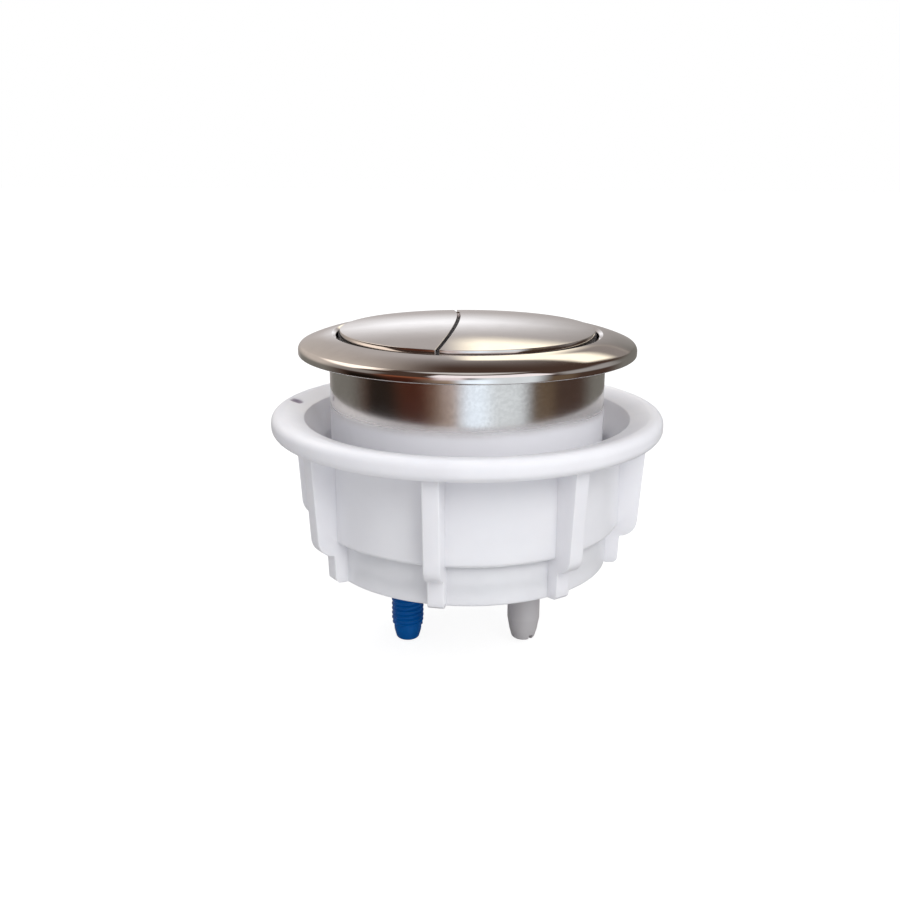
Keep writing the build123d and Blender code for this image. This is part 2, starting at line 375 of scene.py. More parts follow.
@dataclass(frozen=True)
class DrawnSteel(Finish):
    """Drawn spring wire."""

    colour: Colour = (0.56, 0.56, 0.57)
    dullest: float = 0.7
    roughness: float = 0.3
    streak_scale: float = 900.0
    streak_range: Range = (0.2, 0.8)
    streak_roughness: Range = (-0.08, 0.1)

    def shader(self, sheet: NodeSheet, place: Socket) -> bpy.types.Node:
        """Add the wire's shader.

        Args:
            sheet: The material's nodes.
            place: Object coordinates.

        Returns:
            The shader node.
        """
        streak = sheet.noise(place, self.streak_scale)
        smooth, rough = (self.roughness + change for change in self.streak_roughness)
        return sheet.add("BsdfPrincipled", {
            "Base Color": sheet.mix(streak, self.colour, dimmed(self.colour, self.dullest)),
            "Metallic": 1.0,
            "Roughness": sheet.ramp(streak, *self.streak_range, smooth, rough),
        })


def dimmed(colour: Colour, share: float) -> Colour:
    """Return a share of a colour."""
    return tuple(share * part for part in colour)


@dataclass(frozen=True)
class Corner:
    """One corner of a turned section, in millimetres."""

    r: float
    z: float
    rounding: float = 0.0
    segments: int = 5
    cuts: int = 0


@dataclass(frozen=True)
class TurnedForm:
    """A section of rounded corners, turned about an upright axis."""

    corners: tuple[Corner, ...]
    steps: int = 240
    closed: bool = True

    def reach(self, index: int) -> float:
        """Return how far a corner's rounding runs along its two sides.

        Args:
            index: The corner's place in the section.

        Returns:
            The tangent length in millimetres.
        """
        here, before = self.corners[index], self.corners[index - 1]
        after = self.corners[(index + 1) % len(self.corners)]
        side_in = Vector((here.r - before.r, here.z - before.z))
        side_out = Vector((after.r - here.r, after.z - here.z))
        return here.rounding * math.tan(side_in.angle(side_out) / 2)

    def section(self) -> bmesh.types.BMesh:
        """Draw the section as a wire and round its corners.

        Returns:
            The wire, in millimetres.
        """
        wire = bmesh.new()
        points, chain = [], []
        for corner, after in zip(self.corners, self.corners[1:] + self.corners[:1]):
            points.append(wire.verts.new((corner.r, 0.0, corner.z)))
            chain.append(points[-1])
            far = Vector((after.r, 0.0, after.z))
            shares = [cut / (corner.cuts + 1) for cut in range(1, corner.cuts + 1)]
            chain.extend([wire.verts.new(points[-1].co.lerp(far, share)) for share in shares])
        ends = chain[1:] + chain[:1] if self.closed else chain[1:]
        for pair in zip(chain, ends):
            wire.edges.new(pair)
        for index, corner in enumerate(self.corners):
            if corner.rounding:
                bmesh.ops.bevel(wire, geom=[points[index]], offset=self.reach(index),
                                segments=corner.segments, profile=0.5, affect="VERTICES", material=-1)
        return wire

    def build(self) -> bmesh.types.BMesh:
        """Turn the section into a solid.

        Returns:
            The mesh, in millimetres.
        """
        mesh = self.section()
        bmesh.ops.spin(mesh, geom=mesh.verts[:] + mesh.edges[:], cent=(0, 0, 0), axis=(0, 0, 1),
                       angle=math.tau, steps=self.steps, use_merge=True)
        close_up(mesh)
        return mesh


@dataclass(frozen=True)
class Helix:
    """A section carried round and up an upright axis, such as a thread or a spring."""

    section: tuple[tuple[float, float], ...]
    pitches: tuple[tuple[float, float], ...]
    steps: int = 72

    def build(self) -> bmesh.types.BMesh:
        """Carry the section round and up, closed at both ends.

        Returns:
            The mesh, in millimetres.
        """
        mesh = bmesh.new()
        points = [mesh.verts.new((r, 0.0, z)) for r, z in self.section]
        face = mesh.faces.new(points)
        geometry = [face, *face.edges, *face.verts]
        for turns, pitch in self.pitches:
            steps = max(1, round(turns * self.steps))
            climb = (0.0, 0.0, turns * pitch / steps)
            made = bmesh.ops.spin(mesh, geom=geometry, cent=(0, 0, 0), axis=(0, 0, 1), angle=turns * math.tau,
                                  steps=steps, dvec=climb, use_merge=False)
            geometry = made["geom_last"]
        close_up(mesh)
        return mesh


@dataclass(frozen=True)
class ScrewThread:
    """A ridge of trapezium section wound round an upright axis, in millimetres."""

    root_r: float
    crest_r: float
    foot: float
    top: float
    flank: float
    flat: float
    pitch: float
    steps: int = 120

    def build(self) -> bmesh.types.BMesh:
        """Wind the ridge.

        Returns:
            The mesh, in millimetres.
        """
        width = 2 * self.flank + self.flat
        section = (
            (self.root_r, self.foot),
            (self.crest_r, self.foot + self.flank),
            (self.crest_r, self.foot + self.flank + self.flat),
            (self.root_r, self.foot + width),
        )
        turns = (self.top - self.foot - width) / self.pitch
        return Helix(section, ((turns, self.pitch),), self.steps).build()


def close_up(mesh: bmesh.types.BMesh) -> None:
    """Merge doubled points and turn every face outwards."""
    bmesh.ops.remove_doubles(mesh, verts=mesh.verts[:], dist=MERGE)
    bmesh.ops.recalc_face_normals(mesh, faces=mesh.faces[:])


def join(target: bmesh.types.BMesh, *others: bmesh.types.BMesh) -> bmesh.types.BMesh:
    """Add other solids to a mesh.

    Args:
        target: The mesh to add to.
        others: Meshes that are added and freed.

    Returns:
        The target mesh.
    """
    for other in others:
        carried = bpy.data.meshes.new("carried")
        other.to_mesh(carried)
        other.free()
        target.from_mesh(carried)
        bpy.data.meshes.remove(carried)
    return target


def shift(mesh: bmesh.types.BMesh, x: float, y: float = 0.0, z: float = 0.0) -> bmesh.types.BMesh:
    """Move a mesh.

    Args:
        mesh: The mesh to move.
        x: Distance along X.
        y: Distance along Y.
        z: Distance along Z.

    Returns:
        The same mesh.
    """
    bmesh.ops.translate(mesh, vec=(x, y, z), verts=mesh.verts[:])
    return mesh


def to_object(mesh: bmesh.types.BMesh, name: str) -> bpy.types.Object:
    """Turn a mesh in millimetres into a smooth object in metres.

    Args:
        mesh: The mesh, which is freed.
        name: The piece's name.

    Returns:
        The linked object, at the origin.
    """
    bmesh.ops.scale(mesh, vec=(MM, MM, MM), verts=mesh.verts[:])
    for face in mesh.faces:
        face.smooth = True
    for edge in mesh.edges:
        edge.smooth = edge.calc_face_angle(math.pi) < SMOOTH_LIMIT
    data = bpy.data.meshes.new(name)
    mesh.to_mesh(data)
    mesh.free()
    made = bpy.data.objects.new(name, data)
    bpy.context.scene.collection.objects.link(made)
    return made


def install(piece: bpy.types.Object, finish: Finish, body: Body, node: str) -> None:
    """Dress a piece, seat it on its body and let it stand for its CAD node.

    Args:
        piece: The finished piece.
        finish: The finish to give it.
        body: The body it rides on.
        node: The CAD node that it replaces.
    """
    piece.data.materials.append(finish.material())
    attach(piece, body.value)
    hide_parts(node)
    log.info("%s: %d faces, on %s", piece.name, len(piece.data.polygons), body.value)


@dataclass
class BezelSleeve:
    """The bezel ring and threaded sleeve, one moulding."""

    sleeve_r: float = 29.0
    bore_r: float = 27.5
    length: float = 44.0
    flange_r: float = 35.4
    flange_edge: float = 1.85
    crown_r: float = 32.33
    crown_z: float = 3.281
    lip_r: float = 28.3
    lip_z: float = 4.05
    bevel_z: float = 3.7
    ledge_r: float = 26.3
    ledge_z: float = -18.4
    seat_z: float = -21.0
    bead_r: float = 26.9
    bead_z: float = -23.3
    bead_height: float = 0.7
    core_r: float = 28.3
    thread_z: float = -22.0
    thread_gap: float = 0.15
    thread_start: float = 0.5
    thread_sink: float = 0.3
    flank: float = 0.55
    flat: float = 0.45
    pitch: float = 3.0

    def form(self) -> TurnedForm:
        """Lay out the moulding's section.

        Returns:
            The form to be turned.
        """
        return TurnedForm((
            Corner(self.bore_r, -self.length, 0.3, 2),
            Corner(self.core_r, -self.length, 0.4, 3),
            Corner(self.core_r, self.thread_z - (self.sleeve_r - self.core_r)),
            Corner(self.sleeve_r, self.thread_z, cuts=10),
            Corner(self.sleeve_r, 0.0),
            Corner(self.flange_r, 0.0, 0.3, 6),
            Corner(self.flange_r, self.flange_edge, 1.3, 10),
            Corner(self.crown_r, self.crown_z, 20.0, 14),
            Corner(self.lip_r, self.lip_z, 0.12, 3),
            Corner(self.bore_r, self.bevel_z, 0.2, 3),
            Corner(self.bore_r, self.ledge_z),
            Corner(self.ledge_r, self.ledge_z - (self.bore_r - self.ledge_r), 0.2, 2),
            Corner(self.ledge_r, self.seat_z),
            Corner(self.bore_r, self.seat_z),
            Corner(self.bore_r, self.bead_z),
            Corner(self.bead_r, self.bead_z, 0.15, 2),
            Corner(self.bead_r, self.bead_z - self.bead_height),
            Corner(self.bore_r, self.bead_z - 2 * self.bead_height, cuts=3),
        ), steps=320)

    def thread(self) -> bmesh.types.BMesh:
        """Wind the sleeve's coarse thread.

        Returns:
            The mesh, in millimetres.
        """
        root = self.core_r - self.thread_sink
        foot, top = self.thread_start - self.length, self.thread_z - self.thread_gap
        return ScrewThread(root, self.sleeve_r, foot, top, self.flank, self.flat, self.pitch).build()

    def build(self) -> bpy.types.Object:
        """Return the finished moulding."""
        return to_object(join(self.form().build(), self.thread()), "bezel_and_sleeve")

    def dress(self, piece: bpy.types.Object) -> None:
        """Metallise the bezel and fade the sleeve to bare plastic.

        Args:
            piece: The piece's object.
        """
        finish = Metallised("metallised_sleeve", satin=0.17, satin_from=-0.0002, fade_from=-0.0092,
                            fade_to=-0.0125)
        install(piece, finish, Body.HOUSING, "bezel_sleeve")


@dataclass
class ButtonCap:
    """One domed cap, a thin shell with two staking pegs."""

    side: int
    x: float
    node: str
    body: Body
    button_r: float = 26.7
    edge_z: float = 4.75
    crown: float = 1.4
    rounding: float = 0.7
    skirt_z: float = -9.0
    wall: float = 1.4
    split_r: float = 165.0
    split_x: float = -2.1
    gap: float = 0.7
    peg_y: float = 13.0
    peg_r: float = 1.6
    peg_sink: float = 1.6
    peg_head_r: float = 2.4
    peg_head_z: float = -0.5
    peg_end_z: float = -1.5
    rows: int = 40
    columns: int = 14
    slack: float = 1e-3
    corner_turn: float = 50.0
    corner_reach: float = 0.1

    @property
    def dome_r(self) -> float:
        """Return the dome's radius."""
        return (self.button_r**2 + self.crown**2) / (2 * self.crown)

    @property
    def dome_z(self) -> float:
        """Return the height of the dome's centre."""
        return self.edge_z + self.crown - self.dome_r

    def dome(self, x: float, y: float) -> float:
        """Return the dome's height over a point."""
        return self.dome_z + math.sqrt(self.dome_r**2 - x**2 - y**2)

    def arc(self, mesh: bmesh.types.BMesh, centre: float, first: Vector, sweep: float, steps: int) -> None:
        """Draw one edge of the cap's plan.

        Args:
            mesh: The mesh to draw in.
            centre: The arc's centre on X.
            first: The arc's first point.
            sweep: Angle from first to last point.
            steps: Number of edges.
        """
        bmesh.ops.spin(mesh, geom=[mesh.verts.new(first)], cent=(centre, 0, 0), axis=(0, 0, 1), angle=sweep,
                       steps=steps)

    def plan(self) -> bmesh.types.BMesh:
        """Draw the cap's plan as an even grid of faces.

        Returns:
            The flat mesh, facing up.
        """
        mesh = bmesh.new()
        split_r = self.split_r + self.side * self.gap / 2
        centre = self.split_x - self.split_r
        x = (split_r**2 - self.button_r**2 - centre**2) / (-2 * centre)
        y = math.sqrt(self.button_r**2 - x**2)
        tip = Vector((x, -y, 0.0))
        turn = 2 * math.atan2(y, x)
        self.arc(mesh, 0.0, tip, turn if self.side > 0 else turn - math.tau, self.rows + 2 * self.columns)
        self.arc(mesh, centre, tip, 2 * math.asin(y / split_r), self.rows)
        bmesh.ops.remove_doubles(mesh, verts=mesh.verts[:], dist=self.slack)
        rim = [edge for edge in mesh.edges
               if min(vert.co.length for vert in edge.verts) > self.button_r - self.slack]
        outer = set(rim)
        split = [edge for edge in mesh.edges if edge not in outer]
        rim.sort(key=lambda edge: -self.side * sum(vert.co.x for vert in edge.verts))
        bmesh.ops.grid_fill(mesh, edges=split + rim[:self.rows])
        close_up(mesh)
        if sum(face.normal.z for face in mesh.faces) < 0:
            bmesh.ops.reverse_faces(mesh, faces=mesh.faces[:])
        return mesh

    def shell(self) -> bmesh.types.BMesh:
        """Raise the plan into a domed shell with a skirt and rounded edges.

        Returns:
            The mesh, in millimetres.
        """
        mesh = self.plan()
        for vert in mesh.verts:
            vert.co.z = self.dome(vert.co.x, vert.co.y)
        rim = [edge for edge in mesh.edges if edge.is_boundary]
        made = bmesh.ops.extrude_edge_only(mesh, edges=rim)["geom"]
        for vert in made:
            if isinstance(vert, bmesh.types.BMVert):
                vert.co.z = self.skirt_z
        close_up(mesh)
        bmesh.ops.solidify(mesh, geom=mesh.faces[:], thickness=self.wall)
        close_up(mesh)
        corners = [edge for edge in mesh.edges if self.is_outer_corner(edge)]
        bmesh.ops.bevel(mesh, geom=corners, offset=self.rounding, segments=5, profile=0.5, affect="EDGES",
                        material=-1, clamp_overlap=True)
        return mesh

    def is_outer_corner(self, edge: bmesh.types.BMEdge) -> bool:
        """Tell whether an edge is one of the cap's outer corners, its foot left out.

        Args:
            edge: An edge of the shell.

        Returns:
            True if the edge is to be rounded.
        """
        turned = edge.calc_face_angle_signed(0.0) > math.radians(self.corner_turn)
        return turned and max(vert.co.z for vert in edge.verts) > self.edge_z - self.corner_reach

    def peg(self, y: float) -> bmesh.types.BMesh:
        """Make one staking peg with its flattened head.

        Args:
            y: The peg's place on Y.

        Returns:
            The mesh, in millimetres.
        """
        top = self.edge_z - self.peg_sink
        form = TurnedForm((
            Corner(0.0, top),
            Corner(self.peg_r, top),
            Corner(self.peg_r, self.peg_head_z),
            Corner(self.peg_head_r, self.peg_head_z, 0.3, 3),
            Corner(self.peg_head_r, self.peg_end_z, 0.5, 3),
            Corner(0.0, self.peg_end_z),
        ), steps=32, closed=False)
        return shift(form.build(), self.x, y)

    def build(self) -> bpy.types.Object:
        """Build the cap with its two pegs.

        Returns:
            The finished cap.
        """
        pegs = [self.peg(y) for y in (-self.peg_y, self.peg_y)]
        piece = to_object(join(self.shell(), *pegs), self.node.replace("_cap", "_dome"))
        even = piece.modifiers.new("even_light", "WEIGHTED_NORMAL")
        even.keep_sharp = True
        return piece

    def dress(self, piece: bpy.types.Object) -> None:
        """Metallise the cap.

        Args:
            piece: The piece's object.
        """
        finish = MetallisedDome("metallised_" + self.node, roughness=0.06, satin_from=-0.0009,
                                fade_from=-0.0010, fade_to=-0.0030, drift=0.0004,
                                radius=self.dome_r * MM, centre_z=self.dome_z * MM)
        install(piece, finish, self.body, self.node)


@dataclass
class FixingNut:
    """The white nut: dished rim, funnel mouth, skirt, threaded collar and gusset ribs."""

    top: float = -12.3
    bottom: float = -45.1
    bore_r: float = 29.06
    collar_r: float = 30.56
    skirt_r: float = 33.0
    skirt_inner_r: float = 31.0
    skirt_z: float = -36.5
    rim_r: float = 41.5
    rim_z: float = -16.8
    land_r: float = 38.8
    mouth_r: float = 34.6
    mouth_z: float = -13.55
    funnel_z: float = -19.5
    step: float = 1.6
    ribs: int = 8
    rib_phase: float = -97.0
    rib_angle: float = 3.0
    rib_half: float = 1.65
    rib_top_r: float = 38.4
    rib_foot_r: float = 36.9
    rib_foot_z: float = -38.7
    rib_foot_round: float = 3.5
    collar_rib_r: float = 33.5
    rib_end: float = 0.4
    rib_end_round: float = 0.9
    rib_draft: float = 0.2
    rib_overlap: float = 0.5
    rib_floor: float = 0.5
    rib_ceiling: float = 0.25
    wall_facing: float = -0.3
    wall_slack: float = 0.05
    flank_tilt: float = 0.5
    angle_slack: float = 1e-4
    edge_round: float = 0.85
    thread_depth: float = 0.6
    thread_start: float = 0.6
    thread_sink: float = 0.3
    flank: float = 0.5
    flat: float = 0.4
    pitch: float = 3.0
    lead_in: float = 1.0
    gate_x: float = -37.81
    gate_y: float = 4.24
    gate_r: float = 1.5
    gate_depth: float = 0.7
    gate_spot_sink: float = 0.4

    def form(self) -> TurnedForm:
        """Lay out the nut's turned section, without ribs.

        Returns:
            The form to be turned.
        """
        core = self.bore_r + self.thread_depth
        return TurnedForm((
            Corner(self.bore_r, self.bottom, 0.3, 2),
            Corner(self.collar_r, self.bottom, 0.4, 3, cuts=10),
            Corner(self.collar_r, self.skirt_z, 0.5, 3),
            Corner(self.skirt_r, self.skirt_z, 1.9, 6, cuts=16),
            Corner(self.skirt_r, self.rim_z, 2.4, 6),
            Corner(self.rim_r, self.rim_z, 1.8, 8),
            Corner(self.rim_r, self.top, 1.8, 8),
            Corner(self.land_r, self.top, 2.0, 3, cuts=9),
            Corner(self.mouth_r, self.mouth_z, 0.45, 5),
            Corner(self.skirt_inner_r, self.funnel_z, 2.5, 5),
            Corner(self.skirt_inner_r, self.skirt_z + self.step, 0.5, 2),
            Corner(core, self.skirt_z - self.step),
            Corner(core, self.bottom + self.lead_in),
        ), steps=360)

    def thread(self) -> bmesh.types.BMesh:
        """Wind the ridge of the nut's inner thread.

        Returns:
            The mesh, in millimetres.
        """
        root = self.bore_r + self.thread_depth + self.thread_sink
        foot, top = self.bottom + self.thread_start, self.skirt_z - self.step
        return ScrewThread(root, self.bore_r, foot, top, self.flank, self.flat, self.pitch).build()

    def rib_angle_of(self, point: Vector) -> float | None:
        """Return the middle angle of the rib that a point lies in, or None between ribs.

        Args:
            point: A point on the nut.

        Returns:
            The rib's angle in radians, or None.
        """
        spacing = math.tau / self.ribs
        turned = math.atan2(point.y, point.x) - math.radians(self.rib_phase)
        middle = round(turned / spacing) * spacing
        if abs(turned - middle) > math.radians(self.rib_angle) + self.angle_slack:
            return None
        return middle + math.radians(self.rib_phase)

    def rib_outline(self) -> list[Vector]:
        """Draw a rib's outer edge, from the nut's foot up into the rim.

        Returns:
            Its points, as radius and height.
        """
        wire = bmesh.new()
        end = self.bottom + self.rib_end
        points = (
            (self.collar_r + self.rib_overlap, end - self.rib_draft),
            (self.collar_rib_r - self.rib_draft, end),
            (self.collar_rib_r, self.rib_foot_z),
            (self.rib_foot_r, self.rib_foot_z),
            (self.rib_top_r, self.rim_z + self.rib_overlap),
        )
        verts = [wire.verts.new((r, 0.0, z)) for r, z in points]
        for pair in zip(verts, verts[1:]):
            wire.edges.new(pair)
        for vert, size in ((verts[3], self.rib_foot_round), (verts[1], self.rib_end_round)):
            bmesh.ops.bevel(wire, geom=[vert], offset=size, segments=8, profile=0.5, affect="VERTICES",
                            material=-1)
        found = sorted(wire.verts, key=lambda vert: (vert.co.z, vert.co.x))
        line = [Vector((vert.co.x, vert.co.z)) for vert in found]
        wire.free()
        return line

    def along(self, line: list[Vector], share: float) -> Vector:
        """Return a point part of the way along a line.

        Args:
            line: Points of the line.
            share: 0 for its start and 1 for its end.

        Returns:
            The point.
        """
        spans = [(after - before).length for before, after in zip(line, line[1:])]
        left = share * sum(spans)
        for before, after, span in zip(line, line[1:], spans):
            if left <= span:
                return before.lerp(after, left / span)
            left -= span
        return line[-1]

    def raise_ribs(self, mesh: bmesh.types.BMesh) -> None:
        """Draw the eight gusset ribs out of the skirt and collar.

        Args:
            mesh: The turned nut.
        """
        wall = [face for face in mesh.faces if self.is_rib_wall(face)]
        heights = sorted({self.row(vert) for face in wall for vert in face.verts})
        order = {row: index for index, row in enumerate(heights)}
        line = self.rib_outline()
        made = bmesh.ops.extrude_face_region(mesh, geom=wall)["geom"]
        bmesh.ops.delete(mesh, geom=wall, context="FACES")
        raised = [item for item in made if isinstance(item, bmesh.types.BMVert)]
        for vert in raised:
            place = self.along(line, order[self.row(vert)] / (len(heights) - 1))
            middle = self.rib_angle_of(vert.co)
            offset = math.atan2(vert.co.y, vert.co.x) - middle
            offset = (offset + math.pi) % math.tau - math.pi
            across = self.rib_half * offset / math.radians(self.rib_angle)
            vert.co = Matrix.Rotation(middle, 3, "Z") @ Vector((place.x, across, place.y))
        self.soften_ribs(mesh, set(raised))

    def row(self, vert: bmesh.types.BMVert) -> tuple[float, float]:
        """Return a point's height and radius, alike for all points of one turned row."""
        return round(vert.co.z, 3), round(math.hypot(vert.co.x, vert.co.y), 3)

    def is_rib_wall(self, face: bmesh.types.BMFace) -> bool:
        """Tell whether a face of the turned nut lies under a rib.

        Args:
            face: The face.

        Returns:
            True if a rib stands on it.
        """
        middle = face.calc_center_median()
        radius = math.hypot(middle.x, middle.y)
        outward = (face.normal.x * middle.x + face.normal.y * middle.y) / radius
        on_outside = outward > self.wall_facing and radius > self.collar_r - self.wall_slack
        between = self.bottom + self.rib_floor < middle.z < self.rim_z - self.rib_ceiling
        return on_outside and between and self.rib_angle_of(middle) is not None

    def soften_ribs(self, mesh: bmesh.types.BMesh, raised: set[bmesh.types.BMVert]) -> None:
        """Round the ribs' outer edges and fillet their roots.

        Args:
            mesh: The nut with its ribs.
            raised: The points of the ribs' outer faces.
        """
        mesh.normal_update()
        sides = {face for face in mesh.faces
                 if 0 < sum(vert in raised for vert in face.verts) < len(face.verts)}
        flanks = {face for face in sides if abs(face.normal.z) < self.flank_tilt}
        edges = [edge for edge in mesh.edges
                 if len(edge.link_faces) == 2 and sum(face in flanks for face in edge.link_faces) == 1
                 and sum(face in sides for face in edge.link_faces) == 1]
        bmesh.ops.bevel(mesh, geom=edges, offset=self.edge_round, segments=4, profile=0.5, affect="EDGES",
                        material=-1, clamp_overlap=True)

    def press_gate(self, mesh: bmesh.types.BMesh) -> None:
        """Sink the gate's dimple into the rim's top.

        Args:
            mesh: The nut with its ribs.
        """
        for vert in mesh.verts:
            away = math.hypot(vert.co.x - self.gate_x, vert.co.y - self.gate_y) / self.gate_r
            if vert.co.z > self.mouth_z and away < 1.0:
                vert.co.z -= self.gate_depth * (1.0 - away**2)

    def build(self) -> bpy.types.Object:
        """Build the nut.

        Returns:
            The finished nut.
        """
        mesh = self.form().build()
        self.raise_ribs(mesh)
        self.press_gate(mesh)
        return to_object(join(mesh, self.thread()), "ribbed_fixing_nut")

    def dress(self, piece: bpy.types.Object) -> None:
        """Give the nut its white plastic.

        Args:
            piece: The piece's object.
        """
        # Centre of the purple-grey spot, sunk a little into the gate dimple.
        spot_at = (self.gate_x * MM, self.gate_y * MM, (self.top - self.gate_spot_sink) * MM)
        finish = NutPlastic("nut_white", (0.87, 0.87, 0.895), (0.83, 0.83, 0.86), roughness=0.34,
                            subsurface=0.5, mark_at=spot_at, mark_r=self.gate_r * MM)
        install(piece, finish, Body.NUT, "fixing_nut")


@dataclass
class ThreadedRod:
    """The blue push rod, threaded so that its length can be set."""

    x: float = -ROD_X
    top: float = -24.0
    crest_r: float = 3.6
    core_r: float = 3.2
    taper_z: float = -61.4
    nose_z: float = -64.2
    nose_r: float = 3.05
    tip_z: float = -66.4
    tip_r: float = 2.5
    thread_gap: float = 0.62
    thread_start: float = 0.6
    thread_sink: float = 0.2
    taper_sink: float = 0.35
    flank: float = 0.42
    flat: float = 0.14
    pitch: float = 1.1
    slot: float = 1.0
    slot_depth: float = 1.2

    def shank(self) -> bmesh.types.BMesh:
        """Turn the rod's core, tapered to its nose.

        Returns:
            The mesh, in millimetres.
        """
        return TurnedForm((
            Corner(0.0, self.top),
            Corner(self.core_r, self.top, 0.3, 3),
            Corner(self.core_r, self.taper_z, 6.0, 4),
            Corner(self.nose_r, self.nose_z, 2.0, 4),
            Corner(self.tip_r, self.tip_z, 0.8, 6),
            Corner(0.0, self.tip_z),
        ), steps=72, closed=False).build()

    def thread(self) -> bmesh.types.BMesh:
        """Wind the rod's fine thread, fading out on the taper.

        Returns:
            The mesh, in millimetres.
        """
        root = self.core_r - self.thread_sink
        foot, top = self.nose_z + self.thread_start, self.top - self.thread_gap
        mesh = ScrewThread(root, self.crest_r, foot, top, self.flank, self.flat, self.pitch, steps=56).build()
        for vert in mesh.verts:
            sunk = max(0.0, self.taper_z - vert.co.z) / (self.taper_z - self.nose_z)
            radius = math.hypot(vert.co.x, vert.co.y)
            vert.co.xy *= (radius - self.taper_sink * sunk) / radius
        return mesh

    def slotted_shank(self) -> bmesh.types.BMesh:
        """Cut the driver slot across the shank's nose.

        Returns:
            The mesh, in millimetres.
        """
        blade = bmesh.new()
        bmesh.ops.create_cube(blade, size=1.0)
        bmesh.ops.scale(blade, vec=(4 * self.crest_r, self.slot, 2 * self.slot_depth), verts=blade.verts[:])
        cutter = to_object(shift(blade, self.x, 0.0, self.tip_z), "slot_cutter")
        shank = to_object(shift(self.shank(), self.x), "plain_shank")
        cut = shank.modifiers.new("driver_slot", "BOOLEAN")
        cut.operation, cut.solver, cut.object = "DIFFERENCE", "EXACT", cutter
        mesh = bmesh.new()
        mesh.from_object(shank, bpy.context.evaluated_depsgraph_get())
        bmesh.ops.scale(mesh, vec=(1 / MM, 1 / MM, 1 / MM), verts=mesh.verts[:])
        # Removing a mesh removes its object too.
        for used in (shank, cutter):
            bpy.data.meshes.remove(used.data)
        return mesh

    def build(self) -> bpy.types.Object:
        """Return the finished rod."""
        return to_object(join(self.slotted_shank(), shift(self.thread(), self.x)), "half_threaded_rod")

    def dress(self, piece: bpy.types.Object) -> None:
        """Give the rod its blue plastic."""
        finish = MouldedPlastic("rod_blue", (0.0, 0.13, 0.47), (0.0, 0.11, 0.41), roughness=0.40, shine=0.18)
        install(piece, finish, Body.HALF, "half_push_rod")


@dataclass
class ReturnSpring:
    """One compression spring with closed ends."""

    x: float
    node: str
    joint: str
    mean_r: float = 6.53
    wire_r: float = 0.5
    low: float = -21.0
    high: float = -0.5
    turns: float = 5.0
    end_turns: float = 1.0
    travel: float = 8.0
    sides: int = 12

    def build(self) -> bpy.types.Object:
        """Wind the spring.

        Returns:
            The finished spring.
        """
        wire, low = self.wire_r, self.low + self.wire_r
        angles = [math.tau * side / self.sides for side in range(self.sides)]
        ring = tuple((self.mean_r + wire * math.cos(angle), low + wire * math.sin(angle)) for angle in angles)
        closed = (self.end_turns, 2 * wire)
        open_height = self.high - self.low - 2 * wire - 2 * self.end_turns * 2 * wire
        lay = (closed, (self.turns, open_height / self.turns), closed)
        return to_object(shift(Helix(ring, lay, steps=48).build(), self.x), self.node + "_coil")

    def dress(self, piece: bpy.types.Object) -> None:
        """Give the spring its wire and a mesh of its own.

        Args:
            piece: The piece's object.
        """
        install(piece, DrawnSteel("wire_" + self.node), Body.HOUSING, self.node)
        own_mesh(piece)


@dataclass
class PlainMoulding:
    """A CAD piece whose shape is kept, with a moulded finish."""

    node: str
    finish: MouldedPlastic

    def dress(self) -> None:
        """Give the CAD piece its finish."""
        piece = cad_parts[self.node]
        piece.data.materials.clear()
        piece.data.materials.append(self.finish.material())
        log.info("%s: kept, %s", self.node, self.finish.name)


@dataclass(frozen=True)
class Panel:
    """A soft-edged panel of the room that the metal reflects, in degrees and linear colour."""

    azimuth: float
    half_width: float
    elevation: float
    half_height: float
    colour: Colour
    softness: float


@dataclass(frozen=True)
class Lamp:
    """A soft round lamp that looks at the object, in metres and watts."""

    name: str
    place: Point
    power: float
    colour: Colour
    size: float = 0.5
    target: Point = (0.0, 0.0, -0.03)

    def build(self) -> None:
        """Hang the lamp, unseen in the metal."""
        light = bpy.data.lights.new(self.name, "AREA")
        light.shape, light.size = "DISK", self.size
        light.energy, light.color = self.power, self.colour
        lamp = bpy.data.objects.new(self.name, light)
        lamp.location = self.place
        way = Vector(self.target) - Vector(self.place)
        lamp.rotation_euler = way.to_track_quat("-Z", "Y").to_euler()
        lamp.visible_glossy = False
        bpy.context.scene.collection.objects.link(lamp)


